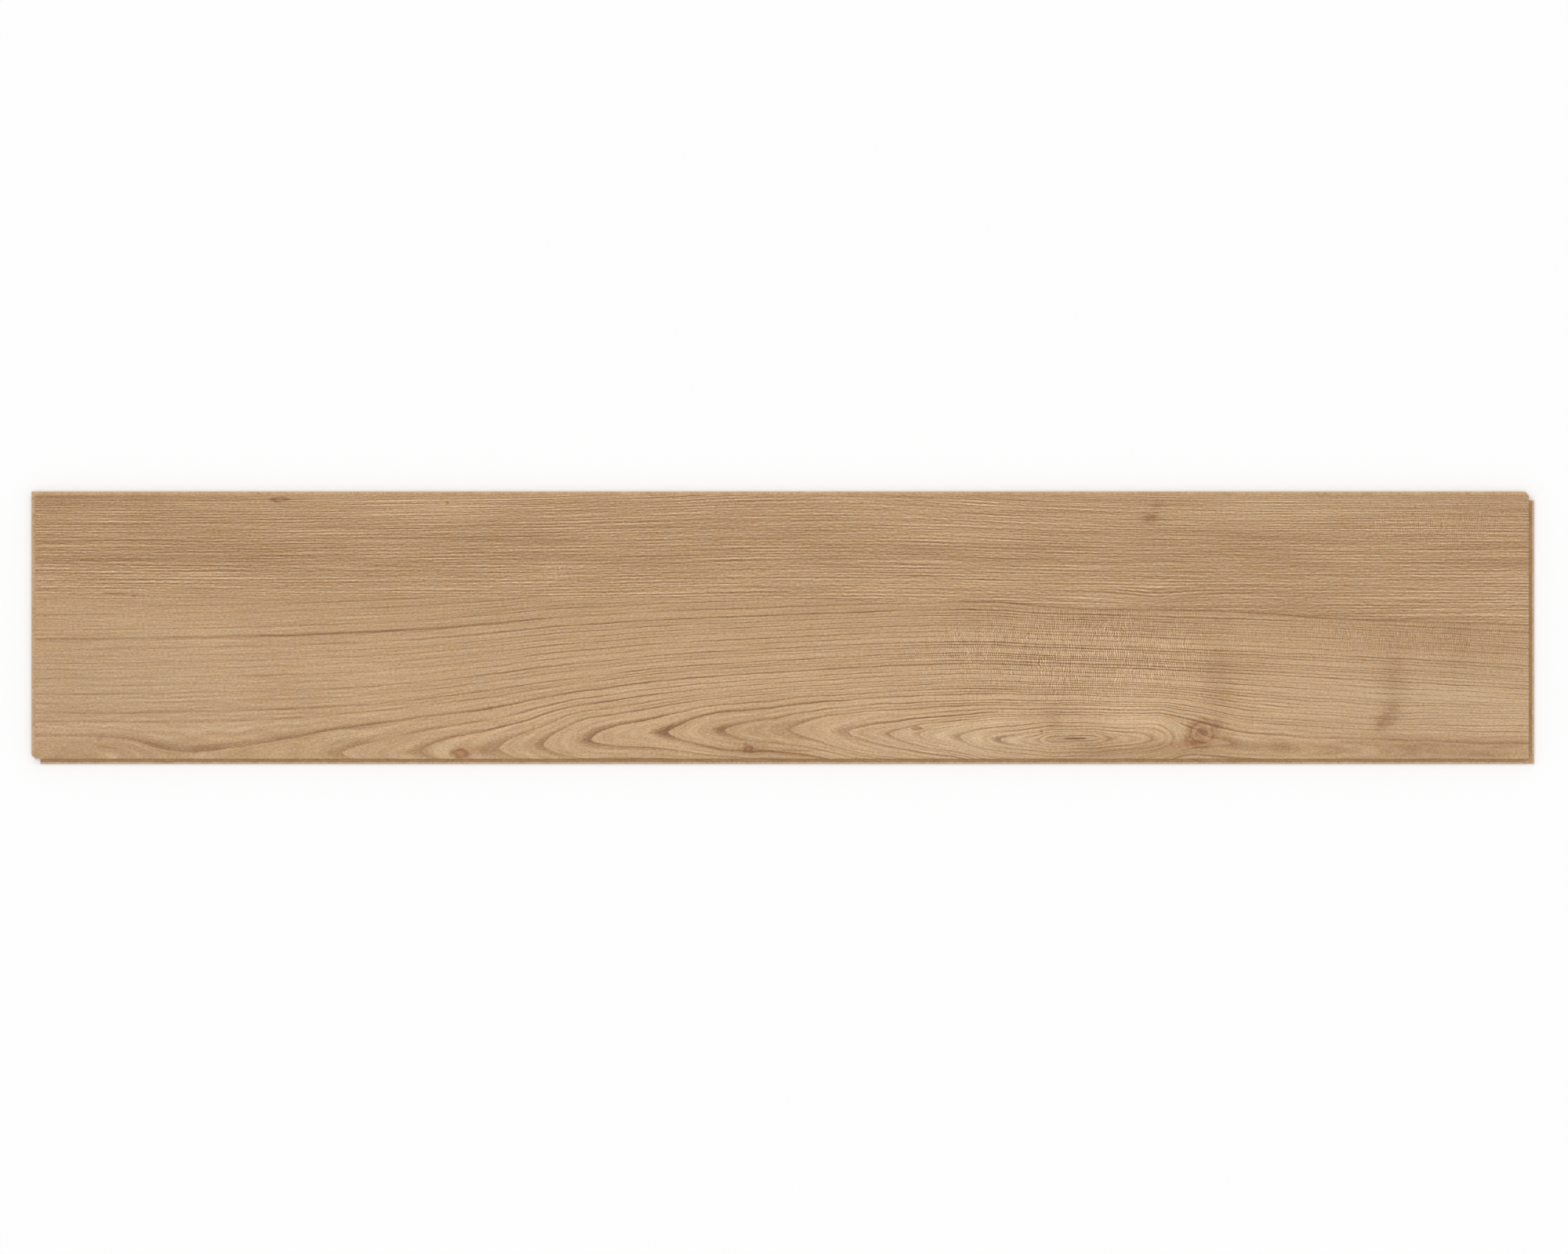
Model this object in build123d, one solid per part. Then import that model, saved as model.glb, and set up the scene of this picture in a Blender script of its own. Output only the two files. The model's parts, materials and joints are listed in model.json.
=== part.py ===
from build123d import *
import os
from math import radians, sqrt, tan

# Laminate floor plank, millimetres. It lies flat with its decor face up: X runs along the plank,
# Y across it, and Z is up from the underside. The origin is on the underside, below the middle of
# the decor face.

# Decor face and board thickness
FACE_LENGTH = 1383.0
FACE_WIDTH = 244.0
THICKNESS = 8.0

# Click profile, the same on the long sides and the ends. The tongue hooks in under the upper lip of
# the next plank and swings down about the joint's top edge, until the nose on the lower lip has
# snapped up behind it.
UPPER_LIP = 2.5  # board left above the groove, at its mouth
LOWER_LIP = 2.1  # board left below the seat, at the joint
SEAT_RADIUS = 5.9  # arc of the seat, about the joint's top edge on a board this thick
TONGUE_REACH = 3.4  # tongue past the decor face
LIP_REACH = 4.6  # lower lip past the decor face
LOCK_SETBACK = 2.0  # foot of the tongue's locking flank, behind the joint
LOCK_HEIGHT = 1.1  # nose above the end of the seat
LOCK_ANGLE = 60.0  # slope of both locking flanks, degrees
TONGUE_TAPER = 4.0  # fall of the tongue's top and of the groove's roof, degrees
NOSE_TAPER = 6.0  # fall of the nose's top and of the pocket's roof, degrees
FIT_GAP = 0.1  # clearance between faces that fit together
END_GAP = 0.3  # room past the tongue's tip, and round the nose

# Rounded corners of the profile
TIP_ROUND = 0.8  # both corners of the tongue's tip
NOSE_ROUND = 0.4  # both corners of the nose
ROOT_ROUND = 0.35  # inner corners of the groove and of the pocket
LIP_ROUND = 0.2  # mouth of the groove, and foot of the tongue's locking flank
ROUND_SHARE = 0.6  # a round's radius at most, as a share of the wall between two of them

CUTTER_OVERRUN = 10.0  # how far the milling runs on past the edges


def arc_height(radius, offset):
    """Height of an arc that the tongue swings on, at an offset from the joint."""
    return LOWER_LIP + SEAT_RADIUS - sqrt(radius**2 - offset**2)


# Sizes that follow from the profile, shared by the tongue and by the groove that takes it
BELLY_RADIUS = SEAT_RADIUS - FIT_GAP
TONGUE_TOP = THICKNESS - UPPER_LIP - FIT_GAP
GROOVE_DEPTH = TONGUE_REACH + END_GAP
NOSE_SETBACK = LOCK_SETBACK + FIT_GAP
NOSE_TOP = arc_height(SEAT_RADIUS, NOSE_SETBACK) + LOCK_HEIGHT
POCKET_TOP = NOSE_TOP + END_GAP
POCKET_DEPTH = LIP_REACH + END_GAP


def flank_top(setback, foot_height, top_height):
    """Distance from the joint to the top of a locking flank that starts at setback."""
    return setback + (top_height - foot_height) / tan(radians(LOCK_ANGLE))


def fall(run, taper):
    """How far a tapered face drops over its run."""
    return run * tan(radians(taper))


def click_section(face_span):
    """Section through the plank, groove edge on the low side and tongue edge on the high side."""
    groove_joint = -face_span / 2
    tongue_joint = face_span / 2

    # Groove edge, from the decor face down to the underside
    seat_end = arc_height(SEAT_RADIUS, NOSE_SETBACK)
    groove_face = (groove_joint, THICKNESS)
    groove_mouth = (groove_joint, THICKNESS - UPPER_LIP)
    root_top = (groove_joint + GROOVE_DEPTH, THICKNESS - UPPER_LIP - fall(GROOVE_DEPTH, TONGUE_TAPER))
    root_bottom = (groove_joint + GROOVE_DEPTH, arc_height(SEAT_RADIUS, GROOVE_DEPTH))
    seat_low = (groove_joint, arc_height(SEAT_RADIUS, 0))
    nose_foot = (groove_joint - NOSE_SETBACK, seat_end)
    nose_start = flank_top(NOSE_SETBACK, seat_end, NOSE_TOP)
    nose_inner = (groove_joint - nose_start, NOSE_TOP)
    nose_outer = (groove_joint - LIP_REACH, NOSE_TOP - fall(LIP_REACH - nose_start, NOSE_TAPER))
    lip_end = (groove_joint - LIP_REACH, 0)

    # Tongue edge, from the decor face down to the underside
    belly_end = arc_height(BELLY_RADIUS, LOCK_SETBACK)
    tongue_face = (tongue_joint, THICKNESS)
    shoulder = (tongue_joint, TONGUE_TOP)
    tip_top = (tongue_joint + TONGUE_REACH, TONGUE_TOP - fall(TONGUE_REACH, TONGUE_TAPER))
    tip_bottom = (tongue_joint + TONGUE_REACH, arc_height(BELLY_RADIUS, TONGUE_REACH))
    belly_low = (tongue_joint, arc_height(BELLY_RADIUS, 0))
    flank_foot = (tongue_joint - LOCK_SETBACK, belly_end)
    pocket_start = flank_top(LOCK_SETBACK, belly_end, POCKET_TOP)
    pocket_inner = (tongue_joint - pocket_start, POCKET_TOP)
    pocket_back = (tongue_joint - POCKET_DEPTH, POCKET_TOP - fall(POCKET_DEPTH - pocket_start, NOSE_TAPER))
    pocket_foot = (tongue_joint - POCKET_DEPTH, 0)

    outline = [
        Polyline(groove_face, groove_mouth, root_top, root_bottom),
        ThreePointArc(root_bottom, seat_low, nose_foot),
        Polyline(nose_foot, nose_inner, nose_outer, lip_end),
        Line(lip_end, pocket_foot),
        Polyline(pocket_foot, pocket_back, pocket_inner, flank_foot),
        ThreePointArc(flank_foot, belly_low, tip_bottom),
        Polyline(tip_bottom, tip_top, shoulder, tongue_face, groove_face),
    ]
    section = make_face(outline)

    tip_height = tip_top[1] - tip_bottom[1]
    root_height = root_top[1] - root_bottom[1]
    rounds = [
        (min(TIP_ROUND, ROUND_SHARE * tip_height), (tip_top, tip_bottom)),
        (min(ROOT_ROUND, ROUND_SHARE * root_height), (root_top, root_bottom)),
        (NOSE_ROUND, (nose_inner, nose_outer)),
        (ROOT_ROUND, (pocket_back, pocket_inner)),
        (LIP_ROUND, (groove_mouth, flank_foot)),
    ]
    for radius, corners in rounds:
        found = [section.vertices().sort_by_distance(corner)[0] for corner in corners]
        section = fillet(found, radius)
    return section


def plank():
    """The board as milled: what the cutters along the sides and those across the ends leave standing.

    Where a tongue crosses a lip the two profiles share only a crumb, which the milling cuts loose,
    so the largest solid is the plank. The tongues are on the +Y side and the -X end.
    """
    overrun = max(TONGUE_REACH, LIP_REACH) + CUTTER_OVERRUN
    across = Plane.YZ * click_section(FACE_WIDTH)
    along = Plane(origin=(0, 0, 0), x_dir=(-1, 0, 0), z_dir=(0, 1, 0)) * click_section(FACE_LENGTH)
    sides_milled = extrude(across, FACE_LENGTH / 2 + overrun, both=True)
    ends_milled = extrude(along, FACE_WIDTH / 2 + overrun, both=True)
    milled = sides_milled & ends_milled
    return milled.solids().sort_by(SortBy.VOLUME)[-1]


os.makedirs("parts", exist_ok=True)
export_step(plank(), "parts/plank.step")
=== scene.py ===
import collections
import json
import math

import bmesh
import bpy
import mathutils
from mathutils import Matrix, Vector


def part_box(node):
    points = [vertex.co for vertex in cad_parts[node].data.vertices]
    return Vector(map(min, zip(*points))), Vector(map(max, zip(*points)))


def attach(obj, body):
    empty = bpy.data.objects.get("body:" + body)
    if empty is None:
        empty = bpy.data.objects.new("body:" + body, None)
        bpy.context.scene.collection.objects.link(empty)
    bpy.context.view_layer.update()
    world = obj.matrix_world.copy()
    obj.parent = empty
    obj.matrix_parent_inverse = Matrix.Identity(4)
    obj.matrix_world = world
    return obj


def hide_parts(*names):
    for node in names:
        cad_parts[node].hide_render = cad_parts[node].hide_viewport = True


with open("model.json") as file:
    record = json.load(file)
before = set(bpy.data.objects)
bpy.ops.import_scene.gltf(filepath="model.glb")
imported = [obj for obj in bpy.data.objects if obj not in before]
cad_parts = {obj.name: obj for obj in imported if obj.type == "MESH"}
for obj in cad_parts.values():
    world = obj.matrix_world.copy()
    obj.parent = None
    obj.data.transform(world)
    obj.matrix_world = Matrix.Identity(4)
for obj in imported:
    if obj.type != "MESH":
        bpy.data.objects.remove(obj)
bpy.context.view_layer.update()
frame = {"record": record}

# Milled board
# The plank is one sheet of high-density fibreboard, pressed with a decor film on top and a backing
# film underneath. Cutters along its sides and across its ends leave a click profile on all four
# edges: a tongue on one side and one end, and a groove with a longer lower lip on the others.
MM = 0.001
board_low, board_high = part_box("plank")
places = {mount["name"]: mount["pos_m"] for mount in frame["record"]["mounts"]}
FACE_LENGTH = 2 * places["end_groove"][0]
FACE_WIDTH = -2 * places["side_groove"][1]
THICKNESS = places["decor_face"][2]
TONGUE_REACH = board_high.y - FACE_WIDTH / 2
LIP_REACH = -board_low.y - FACE_WIDTH / 2
UPPER_LIP = 2.5 * MM  # board left above the groove
LOWER_LIP = 2.1 * MM  # board left below the seat
SEAT_RADIUS = 5.9 * MM  # arc of the seat, about the joint's top edge
LOCK_SETBACK = 2.0 * MM  # foot of the locking flank, behind the joint
LOCK_HEIGHT = 1.1 * MM  # nose above the end of the seat
LOCK_ANGLE = math.radians(60)  # slope of both locking flanks
TONGUE_TAPER = math.radians(4)  # fall of the tongue's top and of the groove's roof
NOSE_TAPER = math.radians(6)  # fall of the nose's top and of the pocket's roof
FIT_GAP = 0.1 * MM  # clearance between faces that fit together
END_GAP = 0.3 * MM  # room past the tongue's tip, and round the nose
TIP_ROUND = 0.8 * MM
NOSE_ROUND = 0.4 * MM
ROOT_ROUND = 0.35 * MM
LIP_ROUND = 0.2 * MM
ROUND_STEPS = 5
ARC_STEPS = 12
CUTTER_OVERRUN = 15 * MM  # how far the milling runs on past the edges
CREASE_ANGLE = math.radians(30)  # edges sharper than this stay crisp


def swung_arc(joint, radius, start, stop):
    """Corners on the arc that a tongue swings on about the joint's top edge, between two offsets from it."""
    offsets = [start + (stop - start) * step / ARC_STEPS for step in range(ARC_STEPS + 1)]
    return [
        (joint + offset, LOWER_LIP + SEAT_RADIUS - math.sqrt(radius**2 - offset**2), 0)
        for offset in offsets
    ]


def rounded(corners):
    """An outline from corners (place, height, round), with an arc of points where a corner has a round."""
    outline = []
    for at, (place, height, radius) in enumerate(corners):
        if not radius:
            outline.append((place, height))
            continue
        before = corners[at - 1]
        after = corners[(at + 1) % len(corners)]
        back = math.atan2(before[1] - height, before[0] - place)
        ahead = math.atan2(after[1] - height, after[0] - place)
        opening = (ahead - back + math.pi) % (2 * math.pi) - math.pi
        middle = back + opening / 2
        reach = radius / math.sin(abs(opening) / 2)
        centre = (place + reach * math.cos(middle), height + reach * math.sin(middle))
        swing = math.copysign(math.pi - abs(opening), opening)
        for step in range(ROUND_STEPS + 1):
            angle = middle + math.pi + swing * (0.5 - step / ROUND_STEPS)
            outline.append((centre[0] + radius * math.cos(angle), centre[1] + radius * math.sin(angle)))
    return outline


def click_outline(face_span):
    """The board's section as (place, height): groove edge on the low side, tongue edge on the high side."""
    groove = -face_span / 2
    tongue = face_span / 2
    depth = TONGUE_REACH + END_GAP
    nose_setback = LOCK_SETBACK + FIT_GAP
    seat = swung_arc(groove, SEAT_RADIUS, depth, -nose_setback)
    belly = swung_arc(tongue, SEAT_RADIUS - FIT_GAP, -LOCK_SETBACK, TONGUE_REACH)
    nose_top = seat[-1][1] + LOCK_HEIGHT
    nose_start = nose_setback + LOCK_HEIGHT / math.tan(LOCK_ANGLE)
    nose_fall = (LIP_REACH - nose_start) * math.tan(NOSE_TAPER)
    pocket_top = nose_top + END_GAP
    pocket_start = LOCK_SETBACK + (pocket_top - belly[0][1]) / math.tan(LOCK_ANGLE)
    pocket_depth = LIP_REACH + END_GAP
    pocket_fall = (pocket_depth - pocket_start) * math.tan(NOSE_TAPER)
    groove_top = THICKNESS - UPPER_LIP
    tongue_top = groove_top - FIT_GAP
    return rounded([
        (groove, THICKNESS, 0),
        (groove, groove_top, LIP_ROUND),
        (groove + depth, groove_top - depth * math.tan(TONGUE_TAPER), ROOT_ROUND),
        (*seat[0][:2], ROOT_ROUND),
        *seat[1:],
        (groove - nose_start, nose_top, NOSE_ROUND),
        (groove - LIP_REACH, nose_top - nose_fall, NOSE_ROUND),
        (groove - LIP_REACH, 0, 0),
        (tongue - pocket_depth, 0, 0),
        (tongue - pocket_depth, pocket_top - pocket_fall, ROOT_ROUND),
        (tongue - pocket_start, pocket_top, ROOT_ROUND),
        (*belly[0][:2], LIP_ROUND),
        *belly[1:-1],
        (*belly[-1][:2], TIP_ROUND),
        (tongue + TONGUE_REACH, tongue_top - TONGUE_REACH * math.tan(TONGUE_TAPER), TIP_ROUND),
        (tongue, tongue_top, 0),
        (tongue, THICKNESS, 0),
    ])


def section_curve(name, outline):
    """The section as a closed curve, drawn upside down because Curve to Mesh turns it over on its path."""
    curve = bpy.data.curves.new(name, "CURVE")
    curve.dimensions = "3D"
    spline = curve.splines.new("POLY")
    spline.points.add(len(outline) - 1)
    spline.use_cyclic_u = True
    for point, (place, height) in zip(spline.points, outline):
        point.co = (place, -height, 0, 1)
    section = bpy.data.objects.new(name, curve)
    bpy.context.scene.collection.objects.link(section)
    return section


def milling_tree():
    """Geometry nodes that run one section along the board and one across it, and keep what both leave."""
    tree = bpy.data.node_groups.new("milled_board", "GeometryNodeTree")
    ports = tree.interface
    for edge in ("Side", "End"):
        ports.new_socket(edge + " section", in_out="INPUT", socket_type="NodeSocketObject")
        ports.new_socket(edge + " run", in_out="INPUT", socket_type="NodeSocketFloat")
    ports.new_socket("Core", in_out="INPUT", socket_type="NodeSocketMaterial")
    ports.new_socket("Board", in_out="OUTPUT", socket_type="NodeSocketGeometry")
    given = tree.nodes.new("NodeGroupInput")
    both = tree.nodes.new("GeometryNodeMeshBoolean")
    both.operation = "INTERSECT"
    both.solver = "EXACT"
    for edge, axis in (("Side", "X"), ("End", "Y")):
        section = tree.nodes.new("GeometryNodeObjectInfo")
        path = tree.nodes.new("GeometryNodeCurvePrimitiveLine")
        bar = tree.nodes.new("GeometryNodeCurveToMesh")
        bar.inputs["Fill Caps"].default_value = True
        for end, share in (("Start", 0.5), ("End", -0.5)):
            half = tree.nodes.new("ShaderNodeMath")
            half.operation = "MULTIPLY"
            half.inputs[1].default_value = share
            place = tree.nodes.new("ShaderNodeCombineXYZ")
            tree.links.new(given.outputs[edge + " run"], half.inputs[0])
            tree.links.new(half.outputs[0], place.inputs[axis])
            tree.links.new(place.outputs[0], path.inputs[end])
        tree.links.new(given.outputs[edge + " section"], section.inputs["Object"])
        tree.links.new(path.outputs["Curve"], bar.inputs["Curve"])
        tree.links.new(section.outputs["Geometry"], bar.inputs["Profile Curve"])
        tree.links.new(bar.outputs["Mesh"], both.inputs["Mesh 2"])
    whole = tree.nodes.new("GeometryNodeRealizeInstances")
    stock = tree.nodes.new("GeometryNodeSetMaterial")
    made = tree.nodes.new("NodeGroupOutput")
    tree.links.new(both.outputs["Mesh"], whole.inputs["Geometry"])
    tree.links.new(whole.outputs["Geometry"], stock.inputs["Geometry"])
    tree.links.new(given.outputs["Core"], stock.inputs["Material"])
    tree.links.new(stock.outputs["Geometry"], made.inputs["Board"])
    return tree


def milled_board(side_outline, end_outline, core):
    """The board's mesh, without the crumbs that two crossing cuts leave at the corners, cut at mid-length."""
    blank = bpy.data.objects.new("blank", bpy.data.meshes.new("blank"))
    bpy.context.scene.collection.objects.link(blank)
    side_section = section_curve("side_section", side_outline)
    end_section = section_curve("end_section", end_outline)
    milling = blank.modifiers.new("milling", "NODES")
    milling.node_group = milling_tree()
    settings = {
        "Side section": side_section,
        "End section": end_section,
        "Side run": FACE_LENGTH + 2 * CUTTER_OVERRUN,
        "End run": FACE_WIDTH + 2 * CUTTER_OVERRUN,
        "Core": core,
    }
    for port in milling.node_group.interface.items_tree:
        if port.name in settings:
            milling[port.identifier] = settings[port.name]
    depsgraph = bpy.context.evaluated_depsgraph_get()
    mesh = bpy.data.meshes.new_from_object(blank.evaluated_get(depsgraph))
    for used in (blank, side_section, end_section):
        bpy.data.objects.remove(used)

    shape = bmesh.new()
    shape.from_mesh(mesh)
    middle = min(shape.verts, key=lambda vert: vert.co.length)
    held = {middle}
    reached = [middle]
    while reached:
        for edge in reached.pop().link_edges:
            for vert in edge.verts:
                if vert not in held:
                    held.add(vert)
                    reached.append(vert)
    crumbs = [vert for vert in shape.verts if vert not in held]
    bmesh.ops.delete(shape, geom=crumbs, context="VERTS")
    bmesh.ops.bisect_plane(
        shape, geom=[*shape.verts, *shape.edges, *shape.faces], plane_co=(0, 0, 0), plane_no=(1, 0, 0)
    )
    bmesh.ops.recalc_face_normals(shape, faces=shape.faces)
    for face in shape.faces:
        face.smooth = True
    shape.to_mesh(mesh)
    shape.free()
    mesh.set_sharp_from_angle(angle=CREASE_ANGLE)
    return mesh


# Fibreboard: its colours by tone, the sizes of its flecks and clouds in mm along, across and up, and how
# much the clouds count. A roughness is a middle and a swing, and a tooth is a depth and a strength
CORE_INKS = [(-0.35, (164, 128, 91)), (0, (196, 161, 123)), (0.35, (216, 184, 147))]
CORE_FLECKS = (1.8, 1.8, 0.3)
FLECK_DETAIL = 2
CORE_CLOUDS = (14, 14, 2)
CORE_CLOUD_SHARE = 0.5
CORE_ROUGHNESS = (0.8, 0.3)
CORE_TOOTH = (0.08 * MM, 0.6)
# Cut edges of the two films, in mm
FILM_DEPTH = 0.25
FILM_BLUR = 0.04
FILM_INK = (146, 108, 74)
# A noise node's values lie about this one
NOISE_MIDDLE = 0.5


def ink(red, green, blue):
    """A colour given in sRGB steps of 0 to 255, as the linear colour that a shader takes."""
    shown = mathutils.Color((red / 255, green / 255, blue / 255))
    return (*shown.from_srgb_to_scene_linear(), 1)


class Reading:
    """A value that changes over a surface. A sum written with one is wired up as Math nodes."""

    def __init__(self, tree, socket):
        self.tree = tree
        self.socket = socket

    def __add__(self, other):
        return worked("ADD", self, other)

    def __radd__(self, other):
        return worked("ADD", other, self)

    def __sub__(self, other):
        return worked("SUBTRACT", self, other)

    def __rsub__(self, other):
        return worked("SUBTRACT", other, self)

    def __mul__(self, other):
        return worked("MULTIPLY", self, other)

    def __truediv__(self, other):
        return worked("DIVIDE", self, other)

    def __pow__(self, other):
        return worked("POWER", self, other)


def placed(tree, kind, **settings):
    """A new node of that kind, with its settings."""
    node = tree.nodes.new(kind)
    for name, value in settings.items():
        setattr(node, name, value)
    return node


def feed(socket, value):
    """Wires a reading to a socket, or sets the socket to a plain value."""
    if isinstance(value, Reading):
        value.tree.links.new(value.socket, socket)
    else:
        socket.default_value = value


def worked(operation, *values, held=False):
    """A Math node on those values, of which one at least is a reading."""
    tree = next(value.tree for value in values if isinstance(value, Reading))
    node = placed(tree, "ShaderNodeMath", operation=operation, use_clamp=held)
    for socket, value in zip(node.inputs, values):
        feed(socket, value)
    return Reading(tree, node.outputs[0])


def scaled(value, factor, rise):
    """A value times a factor, plus a rise, in one node."""
    return worked("MULTIPLY_ADD", value, factor, rise)


def eased(value, low, high):
    """0 where the value is at low, 1 where it is at high, and a smooth step between them."""
    node = placed(value.tree, "ShaderNodeMapRange", interpolation_type="SMOOTHSTEP")
    feed(node.inputs["Value"], value)
    feed(node.inputs["From Min"], low)
    feed(node.inputs["From Max"], high)
    return Reading(value.tree, node.outputs["Result"])


def inked(tone, inks):
    """The colour of a tone, from inks (tone, colour) in order."""
    first, last = inks[0][0], inks[-1][0]
    node = placed(tone.tree, "ShaderNodeValToRGB")
    stops = node.color_ramp.elements
    for step, colour in inks[1:-1]:
        stops.new((step - first) / (last - first))
    for stop, (step, colour) in zip(stops, inks):
        stop.color = ink(*colour)
    feed(node.inputs["Fac"], scaled(tone, 1 / (last - first), -first / (last - first)))
    return Reading(tone.tree, node.outputs["Color"])


def tinted(amount, under, over):
    """One colour over another, by an amount from 0 to 1."""
    node = placed(amount.tree, "ShaderNodeMix", data_type="RGBA", clamp_factor=True)
    feed(node.inputs["Factor"], amount)
    feed(node.inputs[6], under)
    feed(node.inputs[7], over)
    return Reading(amount.tree, node.outputs[2])


def toothed(shader, height, depth, strength):
    """Gives a shader a fine relief, of that depth in metres."""
    relief = placed(height.tree, "ShaderNodeBump")
    feed(relief.inputs["Height"], height)
    feed(relief.inputs["Distance"], depth)
    feed(relief.inputs["Strength"], strength)
    height.tree.links.new(relief.outputs["Normal"], shader.inputs["Normal"])


def roughened(shader, value, middle, swing):
    """Makes a shader rougher and smoother with a value about 0."""
    feed(shader.inputs["Roughness"], scaled(value, swing, middle))


def surface(name):
    """A new material, with its node tree and its shader."""
    material = bpy.data.materials.new(name)
    material.use_nodes = True
    return material, material.node_tree, material.node_tree.nodes["Principled BSDF"]


def board_place(tree):
    """Place on the board in millimetres, along it, across it and up from its underside."""
    where = placed(tree, "ShaderNodeTexCoord")
    split = placed(tree, "ShaderNodeSeparateXYZ")
    tree.links.new(where.outputs["Object"], split.inputs[0])
    return [Reading(tree, axis) / MM for axis in split.outputs]


def fleck_group():
    """A node group for the flecks of pressed fibres, as a value about 0, by their size in metres."""
    tree = bpy.data.node_groups.new("fibre_flecks", "ShaderNodeTree")
    tree.interface.new_socket("Size", in_out="INPUT", socket_type="NodeSocketVector")
    tree.interface.new_socket("Fleck", in_out="OUTPUT", socket_type="NodeSocketFloat")
    given = placed(tree, "NodeGroupInput")
    where = placed(tree, "ShaderNodeTexCoord")
    sized = placed(tree, "ShaderNodeVectorMath", operation="DIVIDE")
    noise = placed(tree, "ShaderNodeTexNoise", noise_dimensions="3D")
    noise.inputs["Scale"].default_value = 1
    noise.inputs["Detail"].default_value = FLECK_DETAIL
    made = placed(tree, "NodeGroupOutput")
    tree.links.new(where.outputs["Object"], sized.inputs[0])
    tree.links.new(given.outputs["Size"], sized.inputs[1])
    tree.links.new(sized.outputs["Vector"], noise.inputs["Vector"])
    feed(made.inputs["Fleck"], Reading(tree, noise.outputs["Fac"]) - NOISE_MIDDLE)
    return tree


def flecks(tree, size):
    """One placed fleck group, with its size in mm along, across and up the board."""
    node = placed(tree, "ShaderNodeGroup", node_tree=FLECKS)
    node.inputs["Size"].default_value = [side * MM for side in size]
    return Reading(tree, node.outputs["Fleck"])


def fibreboard():
    """The bare milled core, with the cut edges of both films as thin lines along its top and foot."""
    core, tree, shader = surface("fibreboard")
    up = board_place(tree)[2]
    fibre = flecks(tree, CORE_FLECKS)
    cloud = flecks(tree, CORE_CLOUDS)
    top = THICKNESS / MM - FILM_DEPTH
    decor_edge = eased(up, top - FILM_BLUR, top + FILM_BLUR)
    backing_edge = eased(up, FILM_DEPTH + FILM_BLUR, FILM_DEPTH - FILM_BLUR)
    bare = inked(fibre + cloud * CORE_CLOUD_SHARE, CORE_INKS)
    feed(shader.inputs["Base Color"], tinted(decor_edge + backing_edge, bare, ink(*FILM_INK)))
    roughened(shader, fibre, *CORE_ROUGHNESS)
    toothed(shader, fibre, *CORE_TOOTH)
    return core


# Layout of the finish on one square sheet: decor in two halves, backing, the two sides, and both ends.
# A face whose normal stands up or down by more than FLAT is the decor face or the underside
FLAT = 0.9999
SHEET_RIM = 0.005
DECOR_ROWS = (0.005, 0.36)
BACKING_ROW = 0.715
SIDE_ROWS = {-1: 0.895, 1: 0.93}
END_ROW = 0.965
END_STARTS = {-1: 0.005, 1: 0.505}
EDGE_ROW_HEIGHT = 0.03


def girth(edge, place, height):
    """How far along an edge's outline the nearest point to a place is, as a share of the outline."""
    run = 0
    found = (math.inf, 0)
    for (start, foot), (stop, top) in zip(edge, edge[1:]):
        length = math.hypot(stop - start, top - foot)
        share = ((place - start) * (stop - start) + (height - foot) * (top - foot)) / length**2
        share = min(max(share, 0), 1)
        off = math.hypot(start + (stop - start) * share - place, foot + (top - foot) * share - height)
        found = min(found, (off, run + length * share))
        run += length
    return found[1] / run


def edges(outline):
    """An outline's two milled edges, by the side that they are on."""
    foot = max(at for at, (place, height) in enumerate(outline) if height == 0)
    return {-1: outline[:foot], 1: outline[foot:]}


def lay_out(mesh, side_outline, end_outline):
    """Lays the board's faces out flat, side by side, for the sheet that its finish is baked to."""
    sides = edges(side_outline)
    ends = edges(end_outline)
    wide = 1 - 2 * SHEET_RIM
    half = FACE_LENGTH / 2
    whole = FACE_LENGTH + TONGUE_REACH + LIP_REACH
    broad = FACE_WIDTH + TONGUE_REACH + LIP_REACH
    layout = mesh.uv_layers.new(name="OFBake")
    for face in mesh.polygons:
        middle = face.center
        for loop in face.loop_indices:
            x, y, z = mesh.vertices[mesh.loops[loop].vertex_index].co
            if face.normal.z > FLAT:
                left = -half if middle.x < 0 else 0
                u = SHEET_RIM + (x - left) * wide / half
                v = DECOR_ROWS[middle.x > 0] + (y + FACE_WIDTH / 2) * wide / half
            elif face.normal.z < -FLAT:
                u = SHEET_RIM + (x - board_low.x) * wide / whole
                v = BACKING_ROW + (y - board_low.y) * wide / whole
            elif abs(face.normal.y) > abs(face.normal.x):
                hand = 1 if middle.y > 0 else -1
                u = SHEET_RIM + (x - board_low.x) * wide / whole
                v = SIDE_ROWS[hand] + girth(sides[hand], y, z) * EDGE_ROW_HEIGHT
            else:
                hand = 1 if middle.x < 0 else -1
                u = END_STARTS[hand] + (y - board_low.y) * (wide / 2 - SHEET_RIM) / broad
                v = END_ROW + girth(ends[hand], -x, z) * EDGE_ROW_HEIGHT
            layout.data[loop].uv = (u, v)


FLECKS = fleck_group()
side_outline = click_outline(FACE_WIDTH)
end_outline = click_outline(FACE_LENGTH)
board = milled_board(side_outline, end_outline, fibreboard())
lay_out(board, side_outline, end_outline)
plank = bpy.data.objects.new("laminate_plank", board)
bpy.context.scene.collection.objects.link(plank)
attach(plank, "root")
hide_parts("plank")

# Decor film
# The decor is an oak grain printed on paper and sealed under a matt wear layer of resin. Straight fine
# grain runs along the upper half. Below it, growth rings open out into long pointed arches round a heart
# line, with a few knots and a rippled figure across the grain.

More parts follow.
